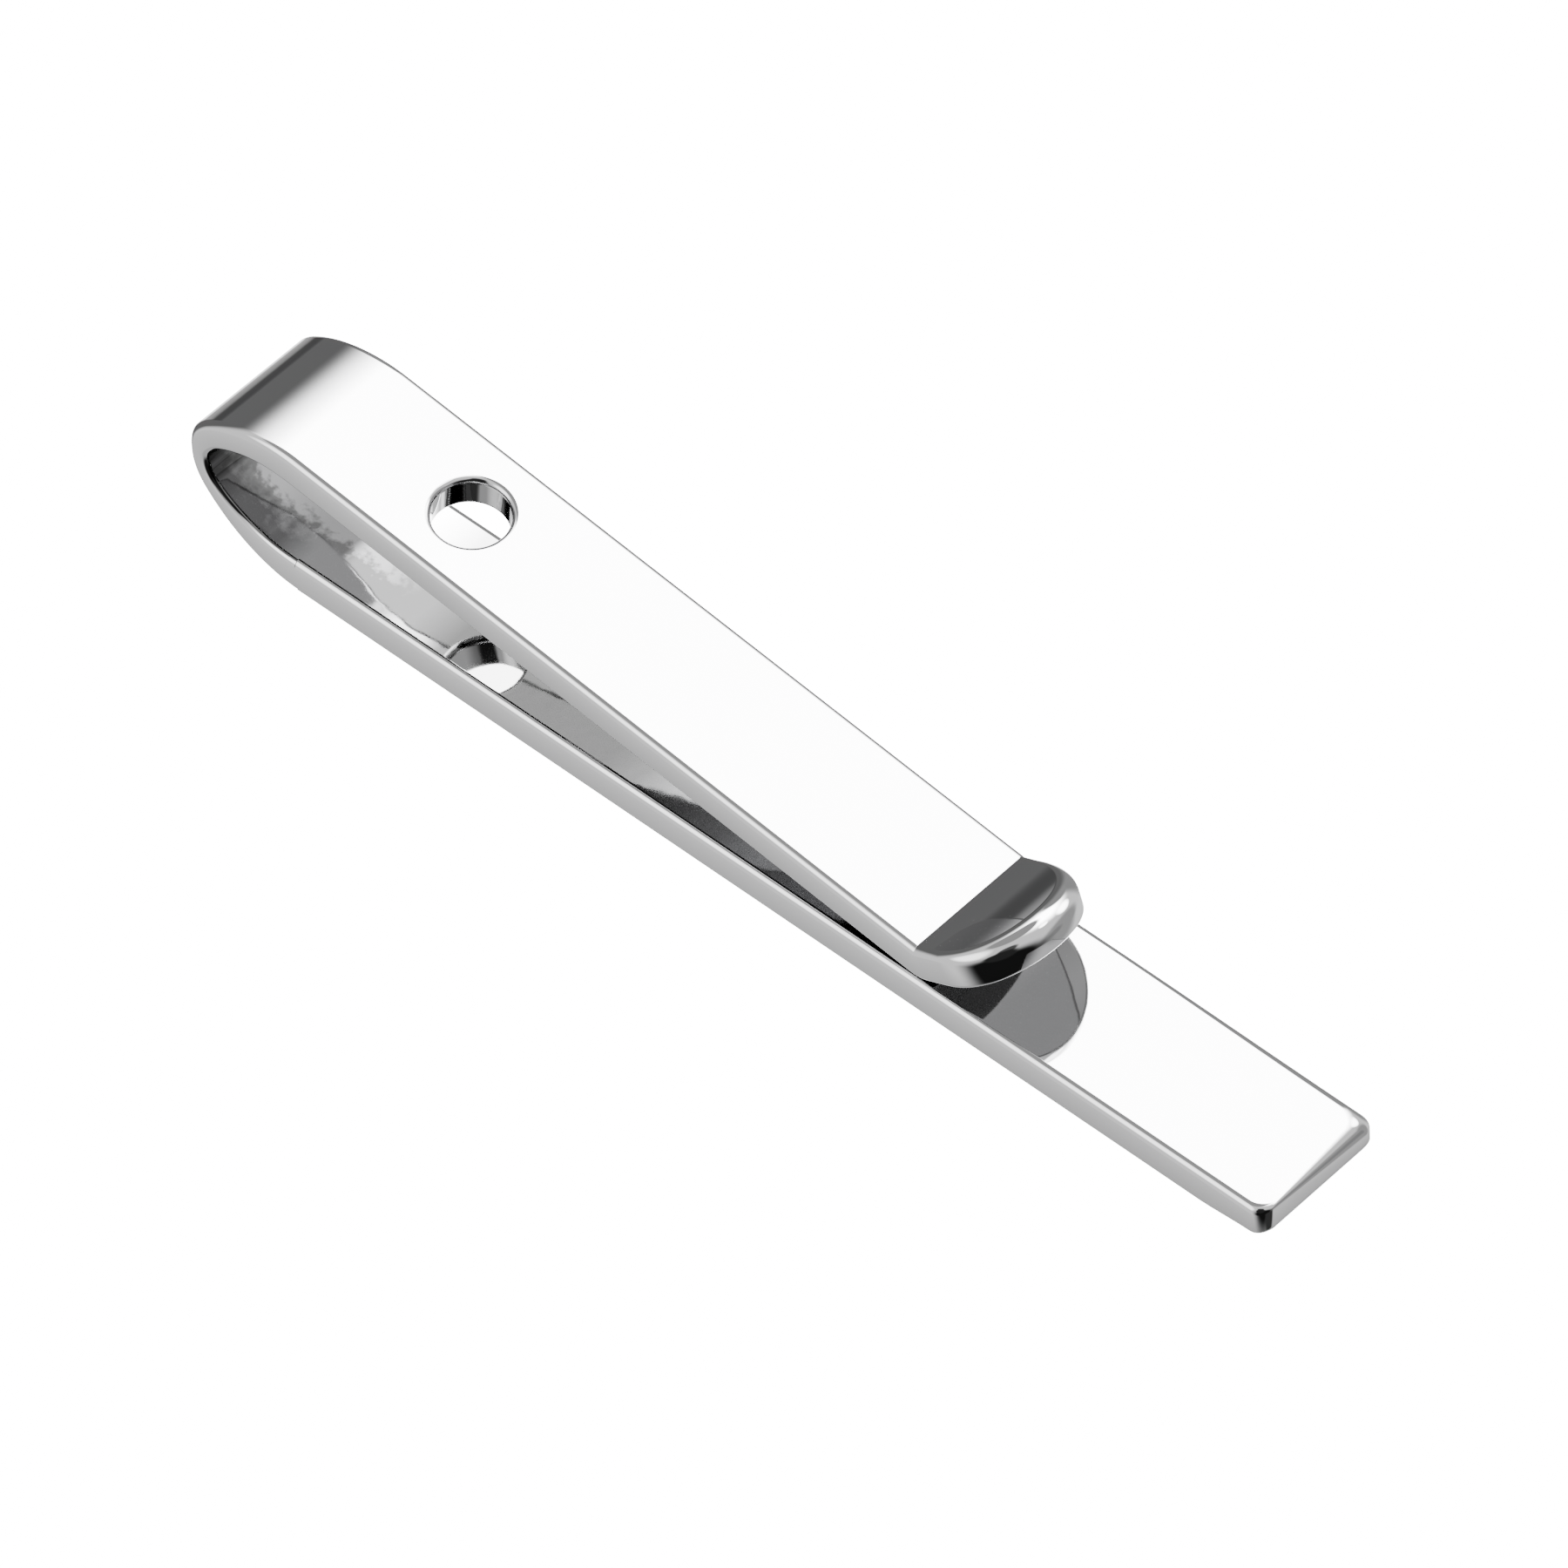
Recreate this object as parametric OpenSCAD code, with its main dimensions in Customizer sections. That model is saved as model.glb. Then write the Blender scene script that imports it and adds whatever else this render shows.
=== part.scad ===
// Tie clip folded from one strip of polished metal.
// It lies on the front face of its bar, with the spring arm above.
// The origin is the middle of that front face, +X runs to the free end and +Z up to the arm.

/* [Bar] */
// Length of the clip, from the back of the fold to the free end of the bar
clip_length = 53.2; // [44:0.2:65]
// Width of the strip
strip_width = 6; // [4.5:0.1:8]
// Thickness of the strip in the bar
strip_thickness = 1.65; // [1.3:0.05:2]
// Radius of the softened long edges
edge_radius = 0.25; // [0.1:0.05:0.4]
// Radius of the two corners at the free end of the bar, seen from the front
corner_radius = 0.7; // [0.3:0.1:1.5]
// Radius to which the free end of the bar is softened, seen from the side
end_radius = 0.45; // [0.1:0.05:0.6]

/* [Fold] */
// Radius of the heel, where the strip leaves the bar, on the middle of the strip
heel_radius = 5.6; // [4:0.1:7]
// Angle through which the heel turns
heel_turn = 50; // [40:1:60]
// Radius of the bow at the back of the fold, on the middle of the strip
bow_radius = 2; // [1.5:0.1:2.5]
// Angle through which the bow turns
bow_turn = 97; // [85:1:105]
// Radius of the crown, where the strip runs into the arm, on the middle of the strip
crown_radius = 6.4; // [5:0.1:7.5]
// Thickness of the strip at the back of the bow, where it is drawn thin and flexes
bow_thickness = 0.87; // [0.7:0.01:1.1]

/* [Arm] */
// Thickness of the arm and the tongue, drawn a little thinner than the bar
arm_thickness = 1.5; // [1.2:0.05:1.8]
// Distance from the back of the fold to the end of the arm's underside
arm_reach = 36.2; // [30:0.2:40]
// Gap between the end of the arm and the bar, at rest
rest_gap = 0.3; // [0.1:0.05:0.8]
// Diameter of the hole through the arm
hole_diameter = 3; // [2:0.1:3.6]
// Distance from the back of the fold to the middle of the hole
hole_reach = 11.8; // [10.4:0.2:20]
// Radius of the softened rims of the hole
rim_radius = 0.2; // [0.05:0.05:0.3]

/* [Tongue] */
// Angle at which the lift tongue rises from the bar, at its crease
tongue_rise = 24; // [15:1:40]
// Radius to which the tongue curls up, on the middle of the strip
curl_radius = 18; // [12:1:60]
// Length of the tongue's straight sides, up to its round tip
tongue_straight = 1.3; // [0.4:0.1:4]
// Radius of the crease on top, between the arm and the tongue
crease_radius = 0.1; // [0.05:0.05:0.5]

/* [Hidden] */
// Fineness of round surfaces
$fn = 96;
// How far a cut runs past what it cuts
overrun = 1;
// Largest part of the strip's half thickness that its edge radius takes
edge_limit_share = 0.9;
// Facets along the heel, the bow, the crown, the crease and the tongue's tip
heel_steps = 12;
bow_steps = 18;
crown_steps = 12;
crease_steps = 6;
tip_steps = 12;
// Facets in each softened edge of the fold and the tongue
edge_steps = 4;
// How far round its quarter turn each side of the tongue's tip is drawn, up to a narrow end face
tip_turn = 84;

// Directions along the fold, as degrees turned since the strip left the bar
bow_start = heel_turn;
crown_start = heel_turn + bow_turn;
half_turn = 180;
right_angle = 90;

// Arc lengths up to the thinnest place, at the back of the bow
heel_arc = heel_radius*heel_turn*PI/half_turn;
bow_arc = bow_radius*bow_turn*PI/half_turn;
back_arc = heel_arc + bow_radius*(right_angle - bow_start)*PI/half_turn;

// Where each arc starts on the middle of the strip, as [x, z]
back_x = -clip_length/2;
heel_at = [back_x + bow_thickness/2 + bow_radius*(1 - sin(bow_start)) + heel_radius*sin(heel_turn),
    strip_thickness/2];
heel_mid = heel_at + [0, heel_radius];
bow_at = on_arc(heel_mid, heel_radius, bow_start);
bow_mid = bow_at + bow_radius*[sin(bow_start), cos(bow_start)];
crown_at = on_arc(bow_mid, bow_radius, crown_start);
crown_mid = crown_at + crown_radius*[sin(crown_start), cos(crown_start)];

// The arm's underside is the line from its end that touches the crown's inner face
arm_end = [back_x + arm_reach, strip_thickness + rest_gap];
arm_span = arm_end - crown_mid;
crown_inner = crown_radius - arm_thickness/2;
arm_slope = asin(crown_inner/norm(arm_span)) - atan2(arm_span[1], arm_span[0]);
arm_length = sqrt(norm(arm_span)^2 - crown_inner^2);
arm_at = on_arc(crown_mid, crown_radius, half_turn + arm_slope);
crown_arc = crown_radius*(half_turn + arm_slope - crown_start)*PI/half_turn;
fold_arc = heel_arc + bow_arc + crown_arc;

// The hole's distance along the arm
hole_along = (back_x + hole_reach - arm_at[0])/cos(arm_slope);

// Middles of the crease's bend and of the tongue's curl, both above the strip
bend_radius = crease_radius + arm_thickness/2;
bend_mid = arm_end + (arm_thickness + crease_radius)*[sin(arm_slope), cos(arm_slope)];
curl_at = above_arc(bend_mid, bend_radius, tongue_rise);
curl_mid = curl_at + curl_radius*[-sin(tongue_rise), cos(tongue_rise)];
tip_radius = strip_width/2;

// Point on an arc of the strip's middle, after the given turn since the bar
function on_arc(mid, radius, turn) = mid - radius*[sin(turn), cos(turn)];

// Point on an arc that bends up, where the strip rises at the given angle from the bar
function above_arc(mid, radius, rise) = mid + radius*[sin(rise), -cos(rise)];

// Smooth rise from 0 to 1
function ease(v) = v*v*(3 - 2*v);

// Thickness of the fold at a length along it: full at both ends, thin at the back of the bow
function fold_thickness(along) =
    let(
        near = along < back_arc ? along/back_arc : (fold_arc - along)/(fold_arc - back_arc),
        full = along < back_arc ? strip_thickness : arm_thickness
    )
    full - (full - bow_thickness)*ease(max(near, 0));

// Thickness that is left at a distance from the tongue's tip, whose edges are softened
function tip_thickness(behind) =
    behind >= edge_radius ? arm_thickness
    : arm_thickness - 2*edge_radius + 2*sqrt(edge_radius^2 - (edge_radius - behind)^2);

// Softened cross-section as points [across, through], in order round it
function section_points(width, thickness) =
    let(
        radius = min(edge_radius, edge_limit_share*min(width, thickness)/2),
        half = [width/2 - radius, thickness/2 - radius]
    )
    [
        for (corner = [0:3], step = [0:edge_steps])
        let(
            side = [corner == 0 || corner == 3 ? 1 : -1, corner < 2 ? 1 : -1],
            turn = right_angle*(corner + step/edge_steps)
        )
        [side[0]*half[0] + radius*cos(turn), side[1]*half[1] + radius*sin(turn)]
    ];

// Ring of points round the strip at a place [x, z], with its face turned up along a direction
function strip_ring(at, up, width, thickness) =
    [for (p = section_points(width, thickness)) [at[0] + p[1]*up[0], p[0], at[1] + p[1]*up[1]]];

// Ring round the fold at a turn of one arc, whose start lies at a length along the fold
function fold_ring(mid, radius, turn, first_turn, start) =
    let(along = start + radius*(turn - first_turn)*PI/half_turn)
    strip_ring(on_arc(mid, radius, turn), [sin(turn), cos(turn)], strip_width, fold_thickness(along));

// Ring round the tongue at a length past the crease, as wide and as thick as given
function tongue_ring(along, width, thickness) =
    let(rise = tongue_rise + along/curl_radius*half_turn/PI)
    strip_ring(above_arc(curl_mid, curl_radius, rise), [-sin(rise), cos(rise)], width, thickness);

// Softened cross-section as a flat shape, as wide and as thick as given
module section(width, thickness) {
    square([width - 2*edge_radius, thickness], center = true);
    square([width, thickness - 2*edge_radius], center = true);
    for (across = [-1, 1], through = [-1, 1]) {
        translate([across*(width/2 - edge_radius), through*(thickness/2 - edge_radius)])
            circle(edge_radius);
    }
}

// Straight strip of a given thickness with softened long edges, running along +X from the origin
module strip(length, thickness) {
    rotate([right_angle, 0, right_angle])
        linear_extrude(height = length)
        section(strip_width, thickness);
}

// Outline of the bar seen from the front, square at the fold and round-cornered at the free end
module bar_outline() {
    free_x = clip_length/2;
    length = free_x - heel_at[0];
    translate([heel_at[0], -strip_width/2])
        square([length - corner_radius, strip_width]);
    translate([heel_at[0], -strip_width/2 + corner_radius])
        square([length, strip_width - 2*corner_radius]);
    for (across = [-1, 1]) {
        translate([free_x - corner_radius, across*(strip_width/2 - corner_radius)])
            circle(corner_radius);
    }
}

// Outline of the bar seen from the side, with its free end softened
module bar_side() {
    free_x = clip_length/2;
    length = free_x - heel_at[0];
    translate([heel_at[0], 0])
        square([length - end_radius, strip_thickness]);
    translate([heel_at[0], end_radius])
        square([length, strip_thickness - 2*end_radius]);
    for (z = [end_radius, strip_thickness - end_radius]) {
        translate([free_x - end_radius, z])
            circle(end_radius);
    }
}

// Decorative front bar, straight from the heel of the fold to its free end
module front_bar() {
    color("gainsboro")
    intersection() {
        translate([heel_at[0], 0, strip_thickness/2])
            strip(clip_length/2 - heel_at[0], strip_thickness);
        translate([0, 0, -overrun])
            linear_extrude(height = strip_thickness + 2*overrun)
            bar_outline();
        translate([0, strip_width/2 + overrun, 0])
            rotate([right_angle, 0, 0])
            linear_extrude(height = strip_width + 2*overrun)
            bar_side();
    }
}

// Solid skin over rings of points that lie against +X, or from the bar round to the arm
module loft(rings) {
    count = len(rings[0]);
    last = (len(rings) - 1)*count;
    sides = [
        for (r = [0:len(rings) - 2], i = [0:count - 1])
        let(
            a = r*count + i,
            b = r*count + (i + 1)%count
        )
        each [[a, a + count, b], [b, a + count, b + count]]
    ];
    ends = [
        [for (i = [0:count - 1]) i],
        [for (i = [count - 1:-1:0]) last + i]
    ];
    polyhedron(points = [for (ring = rings) each ring], faces = concat(sides, ends), convexity = 4);
}

// Teardrop fold that springs: its heel, its bow, thin at the back, and its crown
module spring_fold() {
    crown_turn = half_turn + arm_slope - crown_start;
    color("silver")
    loft([
        for (i = [0:heel_steps])
        fold_ring(heel_mid, heel_radius, heel_turn*i/heel_steps, 0, 0),
        for (i = [1:bow_steps])
        fold_ring(bow_mid, bow_radius, bow_start + bow_turn*i/bow_steps, bow_start, heel_arc),
        for (i = [1:crown_steps])
        fold_ring(crown_mid, crown_radius, crown_start + crown_turn*i/crown_steps,
            crown_start, heel_arc + bow_arc)
    ]);
}

// Place of a thing given in the arm's own directions, with +X down the arm from the crown
module on_arm() {
    translate([arm_at[0], 0, arm_at[1]])
        rotate([0, arm_slope, 0])
        children();
}

// Ring-shaped cut that softens the upper rim of the hole, with the arm's top face at z = 0
module rim_cut() {
    rotate_extrude()
    difference() {
        translate([hole_diameter/2 - overrun, -rim_radius])
            square([rim_radius + overrun, rim_radius + overrun]);
        translate([hole_diameter/2 + rim_radius, -rim_radius])
            circle(rim_radius);
    }
}

// Spring arm with its round hole, straight from the crown of the fold to the crease
module clip_arm() {
    color("lightgray")
    on_arm()
    difference() {
        strip(arm_length, arm_thickness);
        translate([hole_along, 0, -arm_thickness/2 - overrun])
            cylinder(d = hole_diameter, h = arm_thickness + 2*overrun);
        for (side = [0, 1]) {
            translate([hole_along, 0, 0])
                mirror([0, 0, side])
                translate([0, 0, arm_thickness/2])
                rim_cut();
        }
    }
}

// Lift tongue: a tight crease up from the arm, straight sides that curl and a half-round tip
module lift_tongue() {
    color("darkgray")
    loft([
        for (i = [tip_steps:-1:0])
        let(
            turn = tip_turn*i/tip_steps,
            behind = tip_radius*(1 - sin(turn))
        )
        tongue_ring(tongue_straight + tip_radius - behind, strip_width*cos(turn), tip_thickness(behind)),
        for (i = [crease_steps:-1:0])
        let(rise = -arm_slope + (arm_slope + tongue_rise)*i/crease_steps)
        strip_ring(above_arc(bend_mid, bend_radius, rise), [-sin(rise), cos(rise)],
            strip_width, arm_thickness)
    ]);
}

front_bar();
spring_fold();
clip_arm();
lift_tongue();
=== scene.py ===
# %% [markdown]
# A tie clip is one strip of metal folded back on itself: a bar that shows on the tie, a thin fold that
# springs, an arm that presses the cloth, and a short tongue that lets the cloth slide in. This lesson
# dresses its solids.

import math

import bpy
import numpy as np
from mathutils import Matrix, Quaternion, Vector


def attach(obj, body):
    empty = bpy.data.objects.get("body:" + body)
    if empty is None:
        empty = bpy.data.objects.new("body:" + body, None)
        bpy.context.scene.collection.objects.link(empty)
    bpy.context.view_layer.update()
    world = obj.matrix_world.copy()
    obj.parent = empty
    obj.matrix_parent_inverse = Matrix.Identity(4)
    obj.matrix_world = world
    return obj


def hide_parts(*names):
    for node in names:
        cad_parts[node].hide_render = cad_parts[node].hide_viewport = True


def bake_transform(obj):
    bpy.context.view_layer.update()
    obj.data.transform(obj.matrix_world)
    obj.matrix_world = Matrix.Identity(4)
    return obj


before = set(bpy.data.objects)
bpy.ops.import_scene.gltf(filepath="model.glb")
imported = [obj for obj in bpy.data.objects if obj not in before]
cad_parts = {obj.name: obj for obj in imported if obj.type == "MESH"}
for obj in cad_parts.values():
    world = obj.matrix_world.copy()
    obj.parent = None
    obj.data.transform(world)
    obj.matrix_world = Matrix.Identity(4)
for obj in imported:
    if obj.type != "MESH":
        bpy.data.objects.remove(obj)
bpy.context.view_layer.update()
MM = 0.001
print("nodes", sorted(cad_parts))

# %% [markdown]
# A mirror shows every fault of its shape, because a small tilt of the surface moves the reflection
# twice as far. So the pieces aren't taken from the solids' facets. They are drawn again from the same
# main sizes, finely and with exact normals, and with the softer edges that buffing leaves. Everything
# below is in metres. The back and the arm give up two microns, because the solids' facets cut across
# the curves and the pieces stay inside them.

# %% Sizes of the strip
BACK_X = -26.598 * MM
FREE_X = 26.6 * MM
WIDTH = 6.0 * MM
BAR_THICK = 1.65 * MM
ARM_THICK = 1.498 * MM
BOW_THICK = 0.87 * MM
print("strip", WIDTH / MM, "mm wide,", (FREE_X - BACK_X) / MM, "mm long when folded")

# %% Sizes of the fold and the arm
HEEL_R, HEEL_TURN = 5.6 * MM, math.radians(50)
BOW_R, BOW_TURN = 2.0 * MM, math.radians(97)
CROWN_R = 6.4 * MM
ARM_REACH, REST_GAP = 36.2 * MM, 0.3 * MM
HOLE_REACH = 11.8 * MM
print("the arm reaches", ARM_REACH / MM, "mm and rests", REST_GAP / MM, "mm above the bar")

# %% [markdown]
# The path down the middle of the strip is a heel, a tight bow and a crown, three arcs that flow into
# each other, and then a straight arm. A place on it is found from the angle that the strip has turned
# since it left the bar, so no list of points is needed.

# %% Path down the middle of the strip


def on_arc(mid, radius, turn):
    """Point [x, z] on an arc of the path, after the given turn."""
    return np.array([mid[0] - radius * math.sin(turn), mid[1] - radius * math.cos(turn)])


CROWN_START = HEEL_TURN + BOW_TURN
bow_back = BACK_X + BOW_THICK / 2
heel_x = bow_back + BOW_R * (1 - math.sin(HEEL_TURN)) + HEEL_R * math.sin(HEEL_TURN)
heel_at = np.array([heel_x, BAR_THICK / 2])
heel_mid = heel_at + [0, HEEL_R]
bow_at = on_arc(heel_mid, HEEL_R, HEEL_TURN)
bow_mid = bow_at + BOW_R * np.array([math.sin(HEEL_TURN), math.cos(HEEL_TURN)])
crown_at = on_arc(bow_mid, BOW_R, CROWN_START)
crown_mid = crown_at + CROWN_R * np.array([math.sin(CROWN_START), math.cos(CROWN_START)])
print("middles of the arcs", heel_mid, bow_mid, crown_mid)

# %% [markdown]
# The arm leaves the crown along the line that touches it and ends just above the bar. That one
# condition gives its slope and its length.

# %% Slope and length of the arm
arm_end = np.array([BACK_X + ARM_REACH, BAR_THICK + REST_GAP])
span = arm_end - crown_mid
crown_inner = CROWN_R - ARM_THICK / 2
SLOPE = math.asin(crown_inner / np.hypot(*span)) - math.atan2(span[1], span[0])
ARM_LENGTH = math.sqrt(span @ span - crown_inner**2)
CROWN_END = math.pi + SLOPE
arm_at = on_arc(crown_mid, CROWN_R, CROWN_END)
ARM_UP = np.array([math.sin(SLOPE), math.cos(SLOPE)])
ARM_ALONG = np.array([math.cos(SLOPE), -math.sin(SLOPE)])
hole_along = (BACK_X + HOLE_REACH - arm_at[0]) / math.cos(SLOPE)
print("arm slope", round(math.degrees(SLOPE), 3), "degrees, length", round(ARM_LENGTH / MM, 3), "mm")

# %% [markdown]
# Every surface of the clip is either a quilt, which is rows of points with a known normal at each
# point, or a flat plate with one normal. A part collects both kinds, and the two helpers below are all
# that the pieces are made with.

# %% Quilts and plates


def new_part():
    return {"points": [], "faces": [], "normals": []}


def quilt(part, rows, closed=False):
    """Adds quads over rows of (point, normal). Closed joins the end of each row to its start."""
    first, count = len(part["points"]), len(rows[0])
    part["points"] += [point for row in rows for point, _ in row]
    normals = [normal for row in rows for _, normal in row]
    for i in range(len(rows) - 1):
        for j in range(count if closed else count - 1):
            k = (j + 1) % count
            quad = [i * count + j, i * count + k, (i + 1) * count + k, (i + 1) * count + j]
            part["faces"].append([first + corner for corner in quad])
            part["normals"].append([normals[corner] for corner in quad])


def plate(part, outline, normal):
    """Adds one flat face inside an outline."""
    first = len(part["points"])
    part["points"] += outline
    part["faces"].append(list(range(first, first + len(outline))))
    part["normals"].append([normal] * len(outline))


print("a part holds", list(new_part()))

# %% [markdown]
# Quilts and plates meet in points that are there twice. They are welded, faces that point inwards are
# turned round, and the exact normals go in as custom normals. Then Blender shades the facets as the
# true curve, and the mesh is one closed skin.

# %% Mesh from a part
WELD = 0.0002 * MM


def welded(points):
    """The points without their copies, and each old point's new number."""
    numbers, kept, index = {}, [], []
    for point in points:
        key = tuple(round(float(value) / WELD) for value in point)
        if key not in numbers:
            numbers[key] = len(kept)
            kept.append(tuple(map(float, point)))
        index.append(numbers[key])
    return kept, index


def outward(points, ring, normals):
    """The ring and its normals, turned round if the ring runs against its normals."""
    corners = np.array([points[corner] for corner in ring])
    area = np.cross(corners, np.roll(corners, -1, axis=0)).sum(axis=0)
    if area @ np.sum(normals, axis=0) < 0:
        return ring[::-1], normals[::-1]
    return ring, normals


def make_piece(name, part, painted_light_and_shade=None):
    """A mesh object. The mask tells, from a face's middle and normal, if it gets painted light and
    shade.
    """
    points, index = welded(part["points"])
    faces, corner_normals, finish = [], [], []
    for face, normals in zip(part["faces"], part["normals"]):
        ring = [index[corner] for corner in face]
        kept = [i for i in range(len(ring)) if ring[i] != ring[i - 1]]
        if len(kept) > 2:
            ring, normals = outward(points, [ring[i] for i in kept], [normals[i] for i in kept])
            faces.append(ring)
            corner_normals += [tuple(map(float, normal)) for normal in normals]
            middle, facing = np.mean([points[i] for i in ring], axis=0), np.mean(normals, axis=0)
            finish.append(1 if painted_light_and_shade and painted_light_and_shade(middle, facing) else 0)
    mesh = bpy.data.meshes.new(name)
    mesh.from_pydata(points, [], faces)
    mesh.shade_smooth()
    mesh.polygons.foreach_set("material_index", finish)
    mesh.normals_split_custom_set(corner_normals)
    piece = bpy.data.objects.new(name, mesh)
    bpy.context.scene.collection.objects.link(piece)
    print(name, len(points), "points,", len(faces), "faces,", sum(finish), "of them dull")
    return piece


print("points closer than", WELD / MM, "mm are welded")

# %% [markdown]
# The strip was tumbled and buffed, which rounds its edges. A side is drawn as a profile that goes from
# the lower face round the lower edge, up the wall and round the upper edge. A buffed wall is never
# quite flat, so its normals turn by four degrees each way, like those of a slight crown.

# %% Profile of an edge
EDGE, TOP_EDGE = 0.25 * MM, 0.31 * MM
RIGHT_ANGLE = math.pi / 2
EDGE_STEPS = 10
SIDE_CROWN = math.radians(4)


def arc_rows(centre, radius, start, stop, steps):
    """(out, up, normal out, normal up) along an arc of a profile."""
    rows = []
    for step in range(steps + 1):
        angle = start + (stop - start) * step / steps
        c, s = math.cos(angle), math.sin(angle)
        rows.append((centre[0] + radius * c, centre[1] + radius * s, c, s))
    return rows


def edge_profile(thick, lower, upper, lean=0.0):
    """Wall from the lower to the upper face, which leans out by an angle as it rises."""
    rise = math.tan(lean)
    low = (rise * lower - lower / math.cos(lean), lower - thick / 2)
    high = (rise * (thick - upper) - upper / math.cos(lean), thick / 2 - upper)
    return arc_rows(low, lower, -RIGHT_ANGLE, -lean - SIDE_CROWN, EDGE_STEPS) + arc_rows(
        high, upper, -lean + SIDE_CROWN, RIGHT_ANGLE, EDGE_STEPS
    )


print("rows in an edge profile", len(edge_profile(BAR_THICK, EDGE, EDGE)))

# %% [markdown]
# The profile runs along the bar's outline, down the near side, round the two corners of the free end
# and back along the far side. At that end the wheel took more. The lower edge grows to 0.7 mm on both
# sides. The upper edge stays as it is on the near side and gets tight at the end, and on the far side
# it grows slowly, over 12 mm, until it is 0.6 mm at the corner. Across the end it widens from the
# one to the other.

# %% Bar: how its edges grow
END_EDGE = 0.7 * MM
NEAR_TOP_EDGE, FAR_TOP_EDGE = 0.14 * MM, 0.6 * MM
NEAR_CORNER, FAR_CORNER = 0.6 * MM, 0.45 * MM
SOFT_SIDE = {-1: 2.6 * MM, 1: 12.0 * MM}
LOWER_SHARE, UPPER_SHARE = 0.5, {-1: 0.0, 1: 0.5}
side_profile = edge_profile(BAR_THICK, EDGE, TOP_EDGE)
end_corners = {
    -1: (NEAR_CORNER, edge_profile(BAR_THICK, END_EDGE, NEAR_TOP_EDGE)),
    1: (FAR_CORNER, edge_profile(BAR_THICK, END_EDGE, FAR_TOP_EDGE)),
}


def mixed(low, high, share):
    return low + (high - low) * share


def smooth(share):
    """Zero to one with a soft start and a soft stop."""
    share = min(max(share, 0.0), 1.0)
    return share * share * (3 - 2 * share)


def bar_row(x, side, turn, growth, round_share):
    """The edge profile at one place of the outline: on a side up to x, or round a corner. Growth
    is how far the edges have grown along the side, round share how far round the corner."""
    c, s = math.cos(turn), abs(math.sin(turn))
    corner, end_profile = end_corners[side]
    row = []
    for (side_out, side_up, cos_up, sin_up), (end_out, end_up, _, _) in zip(side_profile, end_profile):
        grown = growth * (UPPER_SHARE[side] if side_up > 0 else LOWER_SHARE)
        out = mixed(side_out, end_out, grown)
        up = BAR_THICK / 2 + mixed(side_up, end_up, mixed(grown, 1.0, round_share))
        radius = corner - end_out
        corner_x = FREE_X + end_out - radius
        along = corner_x + radius * c if x is None else min(x, corner_x)
        across = side * (WIDTH / 2 + out - radius + radius * s)
        row.append(((along, across, up), (c * cos_up, side * s * cos_up, sin_up)))
    return row


print("the edges grow over", [length / MM for length in SOFT_SIDE.values()], "mm")

# %% Bar: outline and piece
CORNER_STEPS, SIDE_STEPS = 24, 16
SQUARE_ON = 0.99


def side_rows(side):
    """Rows along one side, from the fold to where its corner starts."""
    rows = [bar_row(heel_at[0], side, RIGHT_ANGLE, 0.0, 0.0)]
    for step in range(SIDE_STEPS + 1):
        x = FREE_X - end_corners[side][0] - SOFT_SIDE[side] * (1 - step / SIDE_STEPS)
        rows.append(bar_row(x, side, RIGHT_ANGLE, smooth(step / SIDE_STEPS), 0.0))
    return rows


def bar_rows():
    """The whole outline, from the fold round the free end and back."""
    rows = side_rows(-1)
    for side in (-1, 1):
        for step in range(CORNER_STEPS + 1):
            turn = RIGHT_ANGLE * (step / CORNER_STEPS - (1 if side < 0 else 0))
            rows.append(bar_row(None, side, turn, 1.0, math.cos(turn) ** 2))
    return rows + side_rows(1)[::-1]


bar_part = new_part()
rows = bar_rows()
quilt(bar_part, rows)
bar_middle = [(heel_at[0], 0.0, z) for z in (0.0, BAR_THICK)]
plate(bar_part, [row[0][0] for row in rows] + [bar_middle[0]], (0, 0, -1))
plate(bar_part, [row[-1][0] for row in rows] + [bar_middle[1]], (0, 0, 1))
near_side, far_side = [p for p, _ in rows[0]], [p for p, _ in rows[-1]]
plate(bar_part, near_side + [bar_middle[1]] + far_side[::-1] + [bar_middle[0]], (-1, 0, 0))
# The bar's upper face takes the plate whose colour is painted light and shade.
bar = make_piece("bar", bar_part, painted_light_and_shade=lambda middle, facing: facing[2] > SQUARE_ON)

# %% [markdown]
# The fold is a loft: the strip's section travels along the three arcs, and its thickness falls from
# 1.65 mm to 0.87 mm at the back and rises again to the arm's 1.5 mm. Just above the back both faces
# stand a little fuller, which makes the crown's shoulder. Because the thickness changes, each face
# leans a little against the path, and the normals are tilted by that lean.

# %% Section of the strip


def section(half, upper=TOP_EDGE, lower=EDGE, shares=(0.0,)):
    """(across, through, normal across, normal through) round the strip, whose faces are half its
    thickness from the path. The shares of its flat width are where a face gets more points."""
    ring = []
    for corner, (side, face) in enumerate([(1, 1), (-1, 1), (-1, -1), (1, -1)]):
        radius = upper if face > 0 else lower
        centre = (side * (WIDTH / 2 - radius), face * (half - radius))
        start = RIGHT_ANGLE * corner + (SIDE_CROWN if side * face > 0 else 0)
        turn = RIGHT_ANGLE - SIDE_CROWN
        ring += arc_rows(centre, radius, start, start + turn, EDGE_STEPS)
        if side * face > 0:
            steps = sorted(shares, reverse=face > 0)
            ring += [(share * (WIDTH / 2 - radius), face * half, 0, face) for share in steps]
    return ring


def section_row(place, along, up, ring, lean=0.0):
    """A row of (point, normal): the ring set at a place [x, z] of the path. Lean is how fast its
    faces leave the path there."""
    row = []
    for across, through, turn_across, turn_through in ring:
        point = (place[0] + through * up[0], across, place[1] + through * up[1])
        tilt = abs(turn_through) * lean
        normal = np.array([
            turn_through * up[0] - tilt * along[0],
            turn_across,
            turn_through * up[1] - tilt * along[1],
        ])
        row.append((point, normal / np.linalg.norm(normal)))
    return row


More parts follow.
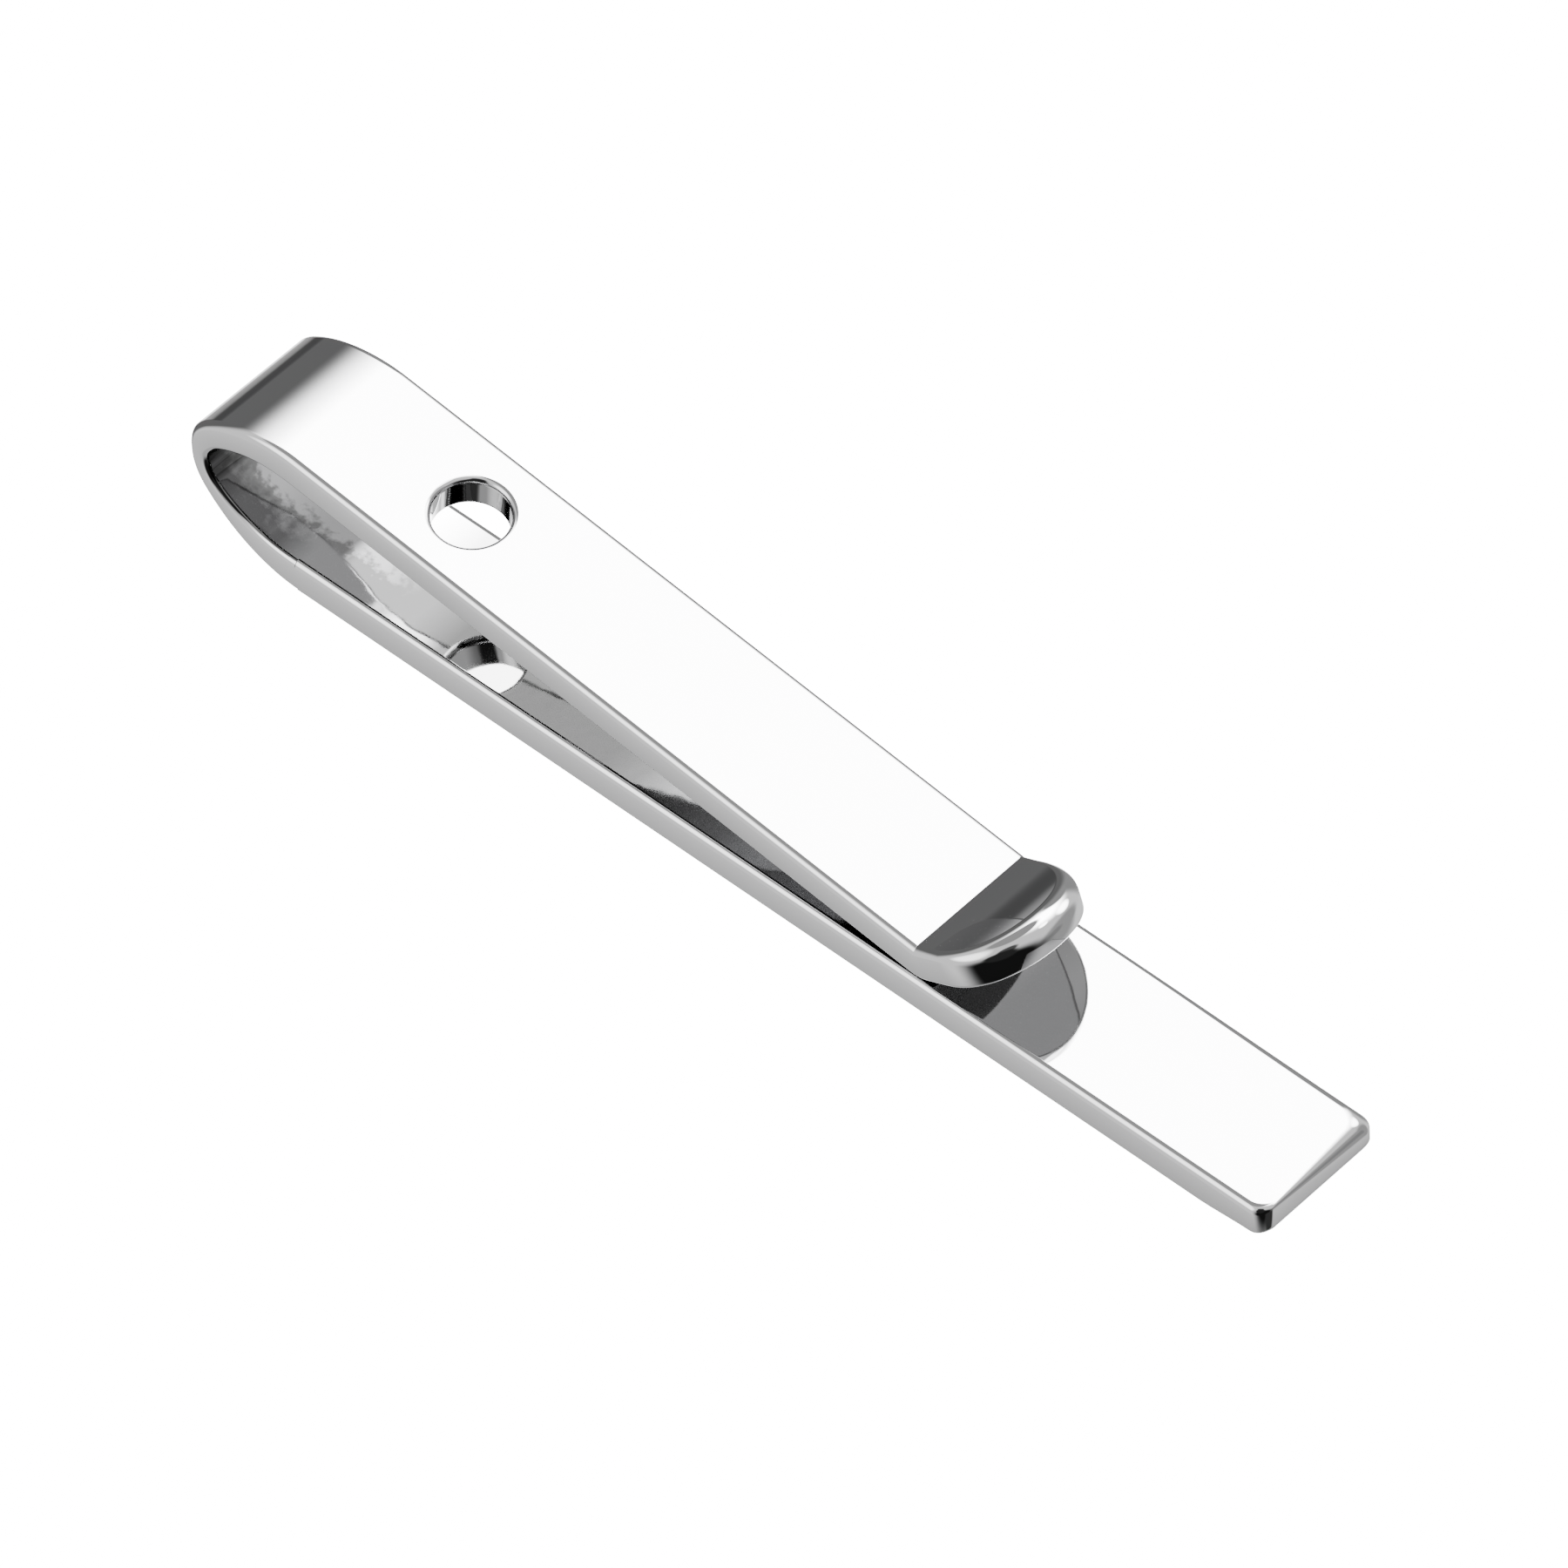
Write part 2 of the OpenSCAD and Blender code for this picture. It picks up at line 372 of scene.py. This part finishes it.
print("points round a section", len(section(ARM_THICK / 2)))

# %% Thickness along the fold
HEEL_ARC, BOW_ARC = HEEL_R * HEEL_TURN, BOW_R * BOW_TURN
BACK_ARC = HEEL_ARC + BOW_R * (RIGHT_ANGLE - HEEL_TURN)
FOLD_ARC = HEEL_ARC + BOW_ARC + CROWN_R * (CROWN_END - CROWN_START)
SHOULDER, SHOULDER_AT, SHOULDER_END = 0.126 * MM, 1.3 * MM, 5.3 * MM
TINY = 0.001 * MM


def half_thickness(length):
    """From the path to either face: thin at the back, and full at the shoulder."""
    full = BAR_THICK if length < BACK_ARC else ARM_THICK
    near = length / BACK_ARC if length < BACK_ARC else (FOLD_ARC - length) / (FOLD_ARC - BACK_ARC)
    half = (full - (full - BOW_THICK) * smooth(near)) / 2
    past = length - BACK_ARC
    fall = smooth((past - SHOULDER_AT) / (SHOULDER_END - SHOULDER_AT))
    shoulder = SHOULDER * smooth(past / SHOULDER_AT) * (1 - fall)
    return half + shoulder


def face_lean(length):
    """How fast the faces leave the path, by a small step."""
    low, high = max(length - TINY, 0.0), min(length + TINY, FOLD_ARC)
    return (half_thickness(high) - half_thickness(low)) / (high - low)


print("path round the fold", round(FOLD_ARC / MM, 2), "mm,", round(BACK_ARC / MM, 2), "mm to its back")

# %% Fold
HEEL_RINGS, BOW_RINGS, CROWN_RINGS = 48, 72, 48


def fold_arc_rows(mid, radius, start, stop, rings, length):
    """Sections along one arc of the fold. Length is the path's length before the arc."""
    rows = []
    for step in range(rings + 1):
        turn = start + (stop - start) * step / rings
        here = length + radius * (turn - start)
        # The path runs back towards -X along the heel, then over the top towards +X.
        along, up = (-math.cos(turn), math.sin(turn)), (math.sin(turn), math.cos(turn))
        # Up looks into the loop, where the edges are those of the arm's lower face.
        ring = section(half_thickness(here), upper=EDGE, lower=TOP_EDGE)
        rows.append(section_row(on_arc(mid, radius, turn), along, up, ring, face_lean(here)))
    return rows


heel_rows = fold_arc_rows(heel_mid, HEEL_R, 0.0, HEEL_TURN, HEEL_RINGS, 0.0)
bow_rows = fold_arc_rows(bow_mid, BOW_R, HEEL_TURN, CROWN_START, BOW_RINGS, HEEL_ARC)
crown_rows = fold_arc_rows(
    crown_mid, CROWN_R, CROWN_START, CROWN_END, CROWN_RINGS, HEEL_ARC + BOW_ARC
)
fold_rows = heel_rows + bow_rows[1:] + crown_rows[1:]
fold_part = new_part()
quilt(fold_part, fold_rows, closed=True)
plate(fold_part, [point for point, _ in fold_rows[0]], (1, 0, 0))
plate(fold_part, [point for point, _ in fold_rows[-1]], (ARM_ALONG[0], 0, ARM_ALONG[1]))
LOOP_MIDDLE = np.array([-22.5 * MM, 0.0, 3.6 * MM])
SIDEWAYS = 0.5


def inside_fold(middle, facing):
    """True for the faces that look into the loop."""
    return abs(facing[1]) < SIDEWAYS and facing @ ((LOOP_MIDDLE - middle) * [1, 0, 1]) > 0


# The faces that look into the loop take the plate with painted light and shade.
fold = make_piece("fold", fold_part, painted_light_and_shade=inside_fold)
print("thinnest place of the fold", round(2 * half_thickness(BACK_ARC) / MM, 3), "mm")

# %% [markdown]
# The arm is flat, with a round hole that was punched before the strip was polished. Each face is two
# plates that meet on the strip's middle line and leave the hole free. The rims of the hole are rounded
# by quarter-circle quilts, and the wall between them is a plain cylinder.

# %% Arm: places, edges and ends


def on_arm(along, across, through):
    x, z = arm_at + along * ARM_ALONG + through * ARM_UP
    return (x, across, z)


def arm_turned(along, across, through):
    x, z = along * ARM_ALONG + through * ARM_UP
    return (x, across, z)


def arm_edges(part):
    """The two long sides with their rounded edges, without the flat faces."""
    for side in (-1, 1):
        profile = edge_profile(ARM_THICK, EDGE, TOP_EDGE)
        quilt(part, [
            [
                (on_arm(along, side * (WIDTH / 2 + out), up), arm_turned(0, side * turn_out, turn_up))
                for out, up, turn_out, turn_up in profile
            ]
            for along in (0.0, ARM_LENGTH)
        ])


def arm_caps(part):
    """The ends of the arm, which lie against the fold and the tongue."""
    ring = section(ARM_THICK / 2)
    for along, way in ((0.0, -1), (ARM_LENGTH, 1)):
        plate(part, [on_arm(along, a, t) for a, t, _, _ in ring], arm_turned(way, 0, 0))


print("the arm leaves the crown at", [round(v / MM, 2) for v in arm_at], "mm")

# %% Arm: faces and hole
HOLE_R, RIM = 1.5 * MM, 0.25 * MM
HOLE_STEPS, RIM_STEPS = 96, 8


def hole_point(radius, step, through):
    angle = 2 * math.pi * step / HOLE_STEPS
    return on_arm(hole_along + radius * math.cos(angle), radius * math.sin(angle), through)


def hole_normal(inward, step, through):
    angle = 2 * math.pi * step / HOLE_STEPS
    return arm_turned(-inward * math.cos(angle), -inward * math.sin(angle), through)


def arm_face(part, face):
    """One flat face, as a near and a far plate round the hole."""
    half, flat = HOLE_STEPS // 2, WIDTH / 2 - (TOP_EDGE if face > 0 else EDGE)
    height = face * ARM_THICK / 2
    for side in (-1, 1):
        corners = [(0.0, 0.0), (0.0, side * flat), (ARM_LENGTH, side * flat), (ARM_LENGTH, 0.0)]
        outline = [on_arm(along, across, height) for along, across in corners]
        outline += [hole_point(HOLE_R + RIM, side * step, height) for step in range(half + 1)]
        plate(part, outline, arm_turned(0, 0, face))


def hole_skin(part):
    """The upper rim, the wall and the lower rim of the hole, in one quilt."""
    profile = [
        (RIM * (1 - math.sin(turn)), math.sin(turn), math.cos(turn))
        for turn in (RIGHT_ANGLE * step / RIM_STEPS for step in range(RIM_STEPS + 1))
    ]
    rows = []
    for face, order in ((1, profile), (-1, profile[::-1])):
        for out, inward, up in order:
            height = face * (ARM_THICK / 2 - RIM * (1 - up))
            rows.append([
                (hole_point(HOLE_R + out, step, height), hole_normal(inward, step, face * up))
                for step in range(HOLE_STEPS)
            ])
    quilt(part, rows, closed=True)


arm_part = new_part()
arm_edges(arm_part)
arm_caps(arm_part)
for face in (1, -1):
    arm_face(arm_part, face)
hole_skin(arm_part)
arm_down = np.array(arm_turned(0, 0, -1))
# The arm's lower face takes the plate with painted light and shade.
arm = make_piece("arm", arm_part, painted_light_and_shade=lambda middle, facing: facing @ arm_down > SQUARE_ON)
print("hole", 2 * HOLE_R / MM, "mm wide,", round(hole_along / MM, 2), "mm down the arm")

# %% [markdown]
# The tongue is creased up from the arm, so a sharp line shows on top, and then it curls. Its tip is
# round and was dressed on a wheel: its wall leans out against the tongue's own face, so it stands
# almost upright although the tongue rises. From the sides to the tip this lean grows, the upper edge
# grows from 0.31 to 0.75 mm, and the lower one shrinks from 0.25 to 0.15 mm.

# %% Path of the tongue
TONGUE_RISE = math.radians(24)
CURL_R, CREASE_R = 18.0 * MM, 0.1 * MM
TONGUE_SIDES, TONGUE_TIP = 1.3 * MM, 3.0 * MM
bend_r = CREASE_R + ARM_THICK / 2
bend_mid = arm_end + (ARM_THICK + CREASE_R) * ARM_UP
curl_at = bend_mid + bend_r * np.array([math.sin(TONGUE_RISE), -math.cos(TONGUE_RISE)])
curl_mid = curl_at + CURL_R * np.array([-math.sin(TONGUE_RISE), math.cos(TONGUE_RISE)])


def rising(mid, radius, rise):
    """Place, direction along and direction up on an arc that bends upwards."""
    c, s = math.cos(rise), math.sin(rise)
    return mid + radius * np.array([s, -c]), np.array([c, s]), np.array([-s, c])


def on_tongue(length, across, through):
    """A point of the curl, at a length along it from its start."""
    place, _, up = rising(curl_mid, CURL_R, TONGUE_RISE + length / CURL_R)
    x, z = place + through * up
    return (x, across, z)


def tongue_turned(length, turn_along, turn_across, turn_through):
    _, along, up = rising(curl_mid, CURL_R, TONGUE_RISE + length / CURL_R)
    x, z = turn_along * along + turn_through * up
    return (x, turn_across, z)


print("tip of the tongue", [round(v / MM, 2) for v in on_tongue(TONGUE_SIDES + TONGUE_TIP, 0, 0)], "mm")

# %% Crease and straight sides of the tongue
FACE_SHARES = (0.2, 0.4, 0.6, 0.8)
CREASE_RINGS, SIDE_RINGS = 12, 8


def tongue_section():
    shares = (0.0,) + FACE_SHARES + tuple(-share for share in FACE_SHARES)
    return section(ARM_THICK / 2, shares=shares)


def tongue_root(part):
    """The crease and the straight sides, in one quilt, and the end that lies against the arm."""
    rows = []
    for step in range(CREASE_RINGS):
        rise = -SLOPE + (SLOPE + TONGUE_RISE) * step / CREASE_RINGS
        rows.append(section_row(*rising(bend_mid, bend_r, rise), tongue_section()))
    for step in range(SIDE_RINGS + 1):
        rise = TONGUE_RISE + TONGUE_SIDES / CURL_R * step / SIDE_RINGS
        rows.append(section_row(*rising(curl_mid, CURL_R, rise), tongue_section()))
    quilt(part, rows, closed=True)
    plate(part, [point for point, _ in rows[0]], arm_turned(-1, 0, 0))


print("the crease turns up by", round(math.degrees(SLOPE + TONGUE_RISE), 1), "degrees")

# %% Round tip of the tongue
TIP_EDGE, TIP_LOWER_EDGE = 0.75 * MM, 0.15 * MM
TIP_LEAN = math.radians(27)
TIP_STEPS = 64
UNDERSIDE = -0.7


def tip_profiles():
    """For each step round the tip: its direction, and its profile, which changes towards the tip."""
    steps = []
    for step in range(TIP_STEPS + 1):
        angle = math.pi * (step / TIP_STEPS - 0.5)
        c, s = max(math.cos(angle), 0.0), math.sin(angle)
        upper, lower = mixed(TOP_EDGE, TIP_EDGE, c), mixed(EDGE, TIP_LOWER_EDGE, c)
        steps.append((c, s, edge_profile(ARM_THICK, lower, upper, TIP_LEAN * c * c)))
    return steps


def tip_place(c, s, out):
    """Length along and across the tongue, at a distance out from the tip's outline."""
    return TONGUE_SIDES + (TONGUE_TIP + out) * c, (WIDTH / 2 + out) * s


def tip_wall(part):
    """The wall round the tip, with both its edges."""
    rows = []
    for c, s, profile in tip_profiles():
        row = []
        for out, through, turn_out, turn_through in profile:
            length, across = tip_place(c, s, out)
            normal = tongue_turned(length, c * turn_out, s * turn_out, turn_through)
            row.append((on_tongue(length, across, through), normal))
        rows.append(row)
    quilt(part, rows)


def tip_face(part, face):
    """The upper or lower face of the tip, spread from its middle to its edge."""
    rows = []
    for c, s, profile in tip_profiles():
        length, across = tip_place(c, s, profile[-1 if face > 0 else 0][0])
        row = []
        for share in (0.0,) + FACE_SHARES + (1.0,):
            here = TONGUE_SIDES + share * (length - TONGUE_SIDES)
            point = on_tongue(here, share * across, face * ARM_THICK / 2)
            row.append((point, tongue_turned(here, 0, 0, face)))
        rows.append(row)
    quilt(part, rows)


tongue_part = new_part()
tongue_root(tongue_part)
tip_wall(tongue_part)
for face in (1, -1):
    tip_face(tongue_part, face)
# The tongue's lower faces take the plate with painted shade.
tongue = make_piece("tongue", tongue_part, painted_light_and_shade=lambda middle, facing: facing[2] < UNDERSIDE)

# %% [markdown]
# The clip is hard-rolled brass, plated with nickel and bright chrome and then buffed. The plate is a
# white metal that returns about six tenths of the light, so nearly all of its look is what it mirrors.
# A plated and buffed face is never quite flat: it has a fine orange peel, whose waves are about a
# millimetre long and a fraction of a micron high, and hazy patches where the wheel stayed longer.

# %% Colours and nodes


def linear(hex_code):
    """Linear colour of an sRGB hex value."""
    shares = [int(hex_code[i : i + 2], 16) / 255 for i in (1, 3, 5)]
    curved = [v / 12.92 if v <= 0.04045 else ((v + 0.055) / 1.055) ** 2.4 for v in shares]
    return (*curved, 1.0)


def add_node(tree, kind, settings=None, sockets=None):
    """Adds a node, sets its properties, and sets or links its input sockets, which are a list that
    starts at the first socket, or go by their names or numbers."""
    node = tree.nodes.new(kind)
    for name, value in (settings or {}).items():
        setattr(node, name, value)
    if not isinstance(sockets, dict):
        sockets = dict(enumerate(sockets or []))
    for name, value in sockets.items():
        if isinstance(value, bpy.types.NodeSocket):
            tree.links.new(value, node.inputs[name])
        else:
            node.inputs[name].default_value = value
    return node


print("middle grey", [round(v, 3) for v in linear("#808080")[:3]])

# %% Plate of any finish
NOISE_RANGE = (0.35, 0.65)


def haze(wave, least, most):
    """Roughness that changes in patches as long as a wave. It gives a function that makes them."""

    def haze_nodes(tree, place):
        patches = add_node(
            tree, "ShaderNodeTexNoise", sockets={"Vector": place, "Scale": 1 / wave, "Detail": 3.0}
        )
        spread = [patches.outputs["Fac"], *NOISE_RANGE, least, most]
        return add_node(tree, "ShaderNodeMapRange", sockets=spread).outputs["Result"]

    return haze_nodes


def plated(name, colour, roughness, wave, height):
    """A mirror metal with an orange peel of a wave and a height. Its colour is one colour or, like
    its roughness, a function that makes its nodes."""
    material = bpy.data.materials.new(name)
    material.use_nodes = True
    tree = material.node_tree
    shader = tree.nodes["Principled BSDF"]
    shader.inputs["Metallic"].default_value = 1.0
    place = add_node(tree, "ShaderNodeTexCoord").outputs["Object"]
    peel = add_node(
        tree, "ShaderNodeTexNoise", sockets={"Vector": place, "Scale": 1 / wave, "Detail": 1.0}
    )
    bump = add_node(
        tree, "ShaderNodeBump", sockets={"Height": peel.outputs["Fac"], "Distance": height}
    )
    tree.links.new(bump.outputs["Normal"], shader.inputs["Normal"])
    if callable(colour):
        tree.links.new(colour(tree, place), shader.inputs["Base Color"])
    else:
        shader.inputs["Base Color"].default_value = colour
    tree.links.new(roughness(tree, place), shader.inputs["Roughness"])
    return material


print("most of a noise lies between", NOISE_RANGE)

# %% Buffed plate, outside
PLATE_HEX = "#CFCFD0"

buffed = plated(
    "bright_chrome_plate_buffed",
    colour=linear(PLATE_HEX),
    roughness=haze(wave=4 * MM, least=0.012, most=0.035),
    wave=1.1 * MM,
    height=0.0012 * MM,
)
print("buffed plate reflects", [round(v, 3) for v in linear(PLATE_HEX)[:3]])

# %% [markdown]
# The wheel can't get into the fold, between the bar and the arm, or under the tongue. There the plate
# is as it left the bath, with a shorter and higher peel that breaks up small reflections, and its
# colour holds painted light and shade. In the fold and just past it the colour is painted lighter than
# the plate outside, apart from a ragged margin of painted shade along the near edge, darker in the
# heel.
# Further on, between the bar and the arm, it is painted shade all over, up to where it turns back to
# the outside plate's colour towards the open end. Under the tongue the painted shade is a little
# lighter. Each change is a place on the clip in millimetres, and noise makes the margin ragged.

# %% Painted light and shade inside the clip: where it lies
# Painted shade along the near edge, ragged by noise, from these distances off the middle line.
MARGIN_FROM, MARGIN_TO = -0.9 * MM, -1.3 * MM
# Deeper painted shade further towards the near edge, only in the heel.
DEEP_SHADE_FROM, DEEP_SHADE_TO = -1.2 * MM, -2.2 * MM
HEEL_FROM, HEEL_TO = -21.2 * MM, -22.6 * MM
FLAT_FROM, FLAT_TO = -18.8 * MM, -16.8 * MM
# Where the painted shade gives way to the outside plate's colour, towards the open end.
SHADE_END_FROM, SHADE_END_TO = -6.0 * MM, -3.0 * MM
PATCH_WAVE, PATCH_REACH = 0.45 * MM, 0.35 * MM


# Where the painted shade lies: a ragged near margin, deeper in the heel, the flat, and where it ends.
def changes(tree, place):
    """Shares from zero to one: painted shade of the margin, of the heel and of the flat, and its end.
    """
    axes = add_node(tree, "ShaderNodeSeparateXYZ", sockets=[place]).outputs
    patches = add_node(
        tree, "ShaderNodeTexNoise", sockets={"Vector": place, "Scale": 1 / PATCH_WAVE, "Detail": 5.0}
    )
    spread = [patches.outputs["Fac"], *NOISE_RANGE, -PATCH_REACH, PATCH_REACH]
    offset = add_node(tree, "ShaderNodeMapRange", sockets=spread).outputs["Result"]
    ragged = add_node(tree, "ShaderNodeMath", {"operation": "ADD"}, [axes["Y"], offset]).outputs[0]
    margin, deep, heel, flat, shade_end = (
        add_node(tree, "ShaderNodeMapRange", sockets=list(stretch)).outputs["Result"]
        for stretch in (
            (ragged, MARGIN_FROM, MARGIN_TO),
            (ragged, DEEP_SHADE_FROM, DEEP_SHADE_TO),
            (axes["X"], HEEL_FROM, HEEL_TO),
            (axes["X"], FLAT_FROM, FLAT_TO),
            (axes["X"], SHADE_END_FROM, SHADE_END_TO),
        )
    )
    deep_shade = add_node(tree, "ShaderNodeMath", {"operation": "MULTIPLY"}, [deep, heel]).outputs[0]
    return margin, deep_shade, flat, shade_end


print("the margin starts", -MARGIN_FROM / MM, "mm from the middle line")

# %% Painted light and shade inside the clip: materials
# Painted light in the fold, painted shade between the bar and the arm, darker painted shade in the
# heel.
FOLD_PAINTED_LIGHT_HEX, PAINTED_SHADE_HEX, DEEP_PAINTED_SHADE_HEX = "#E4E4E5", "#A0A0A0", "#6A6A6A"
# Painted shade under the tongue, a little lighter than between the bar and the arm.
UNDER_TONGUE_PAINTED_SHADE_HEX = "#B4B4B4"


def painted_light_and_shade_colour(tree, place):
    """Painted lighter in the fold, with each change of painted shade laid over the ones before it."""
    colour = linear(FOLD_PAINTED_LIGHT_HEX)
    for share, over in zip(changes(tree, place), (PAINTED_SHADE_HEX, DEEP_PAINTED_SHADE_HEX, PAINTED_SHADE_HEX, PLATE_HEX)):
        layers = {0: share, 6: colour, 7: linear(over)}
        colour = add_node(tree, "ShaderNodeMix", {"data_type": "RGBA"}, layers).outputs[2]
    return colour


as_plated = {
    "roughness": haze(wave=2 * MM, least=0.02, most=0.05),
    "wave": 0.7 * MM,
    "height": 0.0015 * MM,
}
# The peel of unbuffed plate, with a colour of painted light and shade.
unbuffed_painted_light_and_shade = plated("chrome_plate_as_plated_painted_light_and_shade", colour=painted_light_and_shade_colour, **as_plated)
painted_shade_under_tongue = plated("chrome_plate_under_tongue_painted_shade", colour=linear(UNDER_TONGUE_PAINTED_SHADE_HEX), **as_plated)
print("dull plate reflects", [round(v, 3) for v in linear(PAINTED_SHADE_HEX)[:3]])

# %% [markdown]
# The bar rides on the front body, and the arm and its tongue on the arm. The fold is attached to
# neither, and its place is baked into its mesh, though on the real clip it flexes when the arm is
# lifted.

# Each piece's second plate has painted light and shade in its colour.
PIECES = (
    (bar, "front_bar", unbuffed_painted_light_and_shade),
    (fold, "spring_fold", unbuffed_painted_light_and_shade),
    (arm, "clip_arm", unbuffed_painted_light_and_shade),
    (tongue, "lift_tongue", painted_shade_under_tongue),
)
for piece, node, inner in PIECES:
    piece.data.materials.append(buffed)
    piece.data.materials.append(inner)
    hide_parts(node)
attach(bar, "front")
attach(arm, "arm")
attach(tongue, "arm")
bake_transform(fold)
print("pieces", [(piece.name, node) for piece, node, _ in PIECES])

# %% [markdown]
# The clip lies on a light table, a sheet of white acrylic that is lit from below, so it throws no
# shadow. The table is left out of the reflections, and the studio below the clip stands in for it.

# %% Light table
FLOOR_HALF = 2.0
FLOOR_DROP = 0.02 * MM
ACRYLIC_HEX, ACRYLIC_ROUGHNESS = "#F6F6F6", 0.6
TABLE_GLOW = 16.0

floor_mesh = bpy.data.meshes.new("floor")
floor_corners = [(-1, -1), (1, -1), (1, 1), (-1, 1)]
floor_points = [(x * FLOOR_HALF, y * FLOOR_HALF, -FLOOR_DROP) for x, y in floor_corners]
floor_mesh.from_pydata(floor_points, [], [(0, 1, 2, 3)])
floor = bpy.data.objects.new("floor", floor_mesh)
bpy.context.scene.collection.objects.link(floor)
floor.visible_glossy = False
acrylic = bpy.data.materials.new("white_acrylic_lit_from_below")
acrylic.use_nodes = True
acrylic_shader = acrylic.node_tree.nodes["Principled BSDF"]
acrylic_shader.inputs["Base Color"].default_value = linear(ACRYLIC_HEX)
acrylic_shader.inputs["Roughness"].default_value = ACRYLIC_ROUGHNESS
acrylic_shader.inputs["Emission Color"].default_value = linear("#FFFFFF")
acrylic_shader.inputs["Emission Strength"].default_value = TABLE_GLOW
floor_mesh.materials.append(acrylic)
print("light table", 2 * FLOOR_HALF, "m wide,", FLOOR_DROP / MM, "mm under the clip")

# %% [markdown]
# A mirror is lit by what stands round it. Here the room is painted on the sky, dim below and brighter
# above, with one big soft box over the back of the clip. Round soft cards lie over that, each over the
# ones before it: windows and pieces of table give the metal its white lines, and dark flats, the
# seam between them and the camera's own side give it the black ones. Without dark cards, polished
# metal looks like white plastic.

# %% Studio: helpers
world = bpy.data.worlds.new("studio")
bpy.context.scene.world = world
world.use_nodes = True
sky = world.node_tree
towards = add_node(sky, "ShaderNodeTexCoord").outputs["Generated"]


def direction(azimuth, elevation):
    """Unit vector of a direction in degrees."""
    a, e = math.radians(azimuth), math.radians(elevation)
    return (math.cos(e) * math.cos(a), math.cos(e) * math.sin(a), math.sin(e))


def cosine(degrees):
    return math.cos(math.radians(degrees))


def add_card(light, azimuth, elevation, inner, outer, radiance):
    """A round soft card: full inside the inner angle, gone outside the outer one."""
    toward_card = [towards, direction(azimuth, elevation)]
    facing = add_node(sky, "ShaderNodeVectorMath", {"operation": "DOT_PRODUCT"}, toward_card)
    cover = add_node(
        sky,
        "ShaderNodeMapRange",
        {"interpolation_type": "SMOOTHSTEP"},
        [facing.outputs["Value"], cosine(outer), cosine(inner)],
    )
    layers = {0: cover.outputs["Result"], 2: light, 3: radiance}
    return add_node(sky, "ShaderNodeMix", {"data_type": "FLOAT"}, layers).outputs[0]


print("straight up is", [round(v, 3) for v in direction(0, 90)])

# %% Studio: table and soft box
NEAR_TABLE, ROOM = 0.65, 1.3
TABLE_HEIGHT, ROOM_HEIGHT = -0.87, -0.62
SOFT_BOX, BOX_EDGE, BOX_CORE = direction(122, 56), cosine(45), cosine(12)
BOX_LIGHT, BOX_FALLOFF = 20.0, 3.0

height = add_node(sky, "ShaderNodeSeparateXYZ", sockets=[towards]).outputs["Z"]
room = [height, TABLE_HEIGHT, ROOM_HEIGHT, NEAR_TABLE, ROOM]
light = add_node(sky, "ShaderNodeMapRange", sockets=room).outputs["Result"]
facing = add_node(sky, "ShaderNodeVectorMath", {"operation": "DOT_PRODUCT"}, [towards, SOFT_BOX])
inside = add_node(
    sky, "ShaderNodeMapRange", sockets=[facing.outputs["Value"], BOX_EDGE, BOX_CORE]
).outputs["Result"]
glow = add_node(sky, "ShaderNodeMath", {"operation": "POWER"}, [inside, BOX_FALLOFF]).outputs[0]
box_over_room = [glow, BOX_LIGHT, light]
light = add_node(sky, "ShaderNodeMath", {"operation": "MULTIPLY_ADD"}, box_over_room).outputs[0]
print("light of the room", ROOM, "and of the soft box", BOX_LIGHT)

# %% Studio: cards
# Azimuth, elevation, inner and outer angle in degrees, and the card's light.
CARDS = {
    "ceiling": (180, 66, 20, 26, 0.5),
    "window strip": (-120, 30, 8, 28, 4.5),
    "side wall": (38, -6, 26, 42, 0.5),
    "foot of the wall": (28, 0, 4, 15, 0.35),
    "window": (80, 32, 4, 17, 16.0),
    "skylight": (52, 64, 4, 8, 12.0),
    "far flat": (126, -12, 24, 40, 0.42),
    "far flat, top": (130, 24, 12, 19, 0.45),
    "dark flat": (170, -10, 32, 48, 0.19),
    "seam of the flats": (154, -5, 0.5, 6, 0.1),
    "edge of the table": (150, -21, 3, 14, 0.6),
    "table past the fold": (140, -47, 13, 27, 3.7),
    "camera side": (-38, -12, 34, 66, 0.012),
    "under the corner": (4, -44, 14, 24, 0.05),
    "camera": (-57, 49, 10, 17, 0.12),
    "tripod": (-55, 25, 18, 28, 0.03),
}
for card in CARDS.values():
    light = add_card(light, *card)
print("cards", list(CARDS))

# %% Studio: plain backdrop
BACKDROP_LIGHT = 15.0
seen = add_node(sky, "ShaderNodeLightPath").outputs["Is Camera Ray"]
backdrop = add_node(
    sky, "ShaderNodeMix", {"data_type": "FLOAT"}, {0: seen, 2: light, 3: BACKDROP_LIGHT}
)
sky.links.new(backdrop.outputs[0], sky.nodes["Background"].inputs["Strength"])
sky.nodes["Background"].inputs["Color"].default_value = linear("#FFFFFF")
print("the backdrop's light", BACKDROP_LIGHT)

# %% [markdown]
# The camera looks down at the clip from the open side, with a long lens, so the near and far edges
# stay almost parallel. Its angle was fitted to the clip's own long edges.

# %% Camera
AZIMUTH, ELEVATION, ROLL = -43.367, 48.821, -4.713
DISTANCE, LENS, SENSOR = 531.37 * MM, 334.15, 36
NEAREST = 0.01
TARGET = Vector((-1.242 * MM, 1.844 * MM, 0))

eye = Vector(direction(AZIMUTH, ELEVATION))
camera_data = bpy.data.cameras.new("camera")
camera_data.lens, camera_data.sensor_width = LENS, SENSOR
camera_data.clip_start = NEAREST
camera = bpy.data.objects.new("camera", camera_data)
camera.location = TARGET + DISTANCE * eye
camera.rotation_mode = "QUATERNION"
upright = (-eye).to_track_quat("-Z", "Y")
camera.rotation_quaternion = Quaternion(eye, math.radians(ROLL)) @ upright
bpy.context.scene.collection.objects.link(camera)
bpy.context.scene.camera = camera
print("camera", [round(v / MM, 1) for v in camera.location], "mm")
